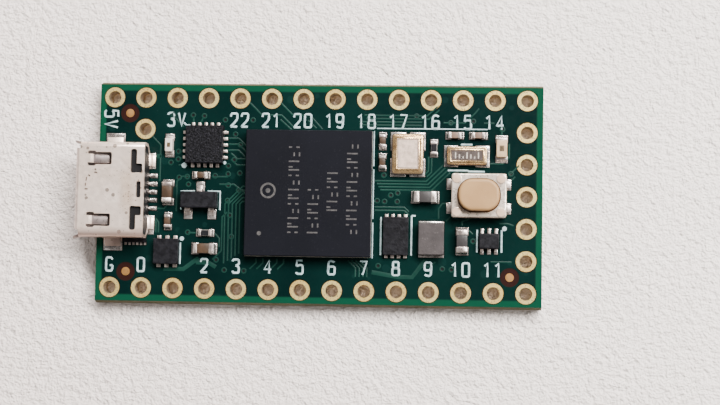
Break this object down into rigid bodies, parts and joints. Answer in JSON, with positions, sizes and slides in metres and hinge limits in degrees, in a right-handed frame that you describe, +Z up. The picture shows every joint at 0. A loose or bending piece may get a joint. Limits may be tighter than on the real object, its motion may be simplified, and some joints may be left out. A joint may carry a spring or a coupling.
{
  "type": "microcontroller dev board",
  "caption": "Small green circuit board with pin holes along three edges, a micro-USB socket, a square microcontroller, small chips, crystals and a push button.",
  "frame": {"origin": "centre of the pin-hole grid on the board's underside", "axes": "+X along the board away from the USB socket, +Y across the board, +Z up out of the face that carries the parts"},
  "size_m": [0.0371, 0.0178, 0.0043],
  "materials": {
    "laminate": "woven glass-epoxy edge",
    "mask": "glossy solder mask",
    "gold": "gold plating",
    "tin": "tinned",
    "socket_steel": "tin-plated sheet",
    "black_plastic": "moulded",
    "mould": "moulding compound",
    "substrate": "thin laminate",
    "silicon": "polished die",
    "solder": "solder",
    "ceramic": "fired ceramic",
    "quartz": "clear crystal",
    "seam_gold": "gold seam ring",
    "lid_metal": "matte plated lid",
    "ferrite": "moulded iron powder",
    "copper": "enamelled copper wire",
    "capacitor": "fired ceramic",
    "bead": "fired ferrite",
    "resistor": "alumina",
    "film": "black overglaze",
    "led_base": "white laminate",
    "led_lens": "cast epoxy",
    "dome_steel": "spring steel",
    "plunger": "moulded tan plastic",
    "cover_steel": "plated sheet"
  },
  "bodies": {
    "board": {"board_laminate": "laminate", "solder_mask_top": "mask", "solder_mask_bottom": "mask", "barrel_plating": "gold", "fiducial_dots": "gold", "solder_pads": "tin", "usb_shell": "socket_steel", "usb_insulator": "black_plastic", "usb_contacts": "gold", "mcu_substrate": "substrate", "mcu_mould_cap": "mould", "mcu_die": "silicon", "mcu_solder_balls": "solder", "helper_chip_body": "mould", "helper_chip_leads": "tin", "regulator_body": "mould", "regulator_pads": "tin", "power_switch_body": "mould", "power_switch_leads": "tin", "flash_chip_body": "mould", "flash_chip_pads": "tin", "logic_chip_body": "mould", "logic_chip_leads": "tin", "guard_chip_body": "mould", "guard_chip_pads": "tin", "chip_dies": "silicon", "main_crystal_base": "ceramic", "main_crystal_ring": "seam_gold", "main_crystal_lid": "lid_metal", "main_crystal_quartz": "quartz", "clock_crystal_base": "ceramic", "clock_crystal_ring": "seam_gold", "clock_crystal_lid": "lid_metal", "clock_crystal_quartz": "quartz", "inductor_body": "ferrite", "inductor_terminals": "tin", "inductor_coil": "copper", "capacitor_bodies": "capacitor", "capacitor_ends": "tin", "bead_bodies": "bead", "bead_ends": "tin", "resistor_bodies": "resistor", "resistor_films": "film", "resistor_ends": "tin", "led_bases": "led_base", "led_lenses": "led_lens", "led_ends": "tin", "switch_base": "black_plastic", "switch_terminals": "tin", "switch_contacts": "gold", "switch_dome": "dome_steel", "switch_cover": "cover_steel"},
    "button": {"switch_plunger": "plunger"}
  },
  "joints": [
    {"name": "button_press", "type": "slide", "parent": "board", "child": "button", "axis": [0, 0, -1], "range_m": [0, 0.00022], "stiffness_N_per_m": 6400, "deforming": ["switch_dome"]}
  ]
}
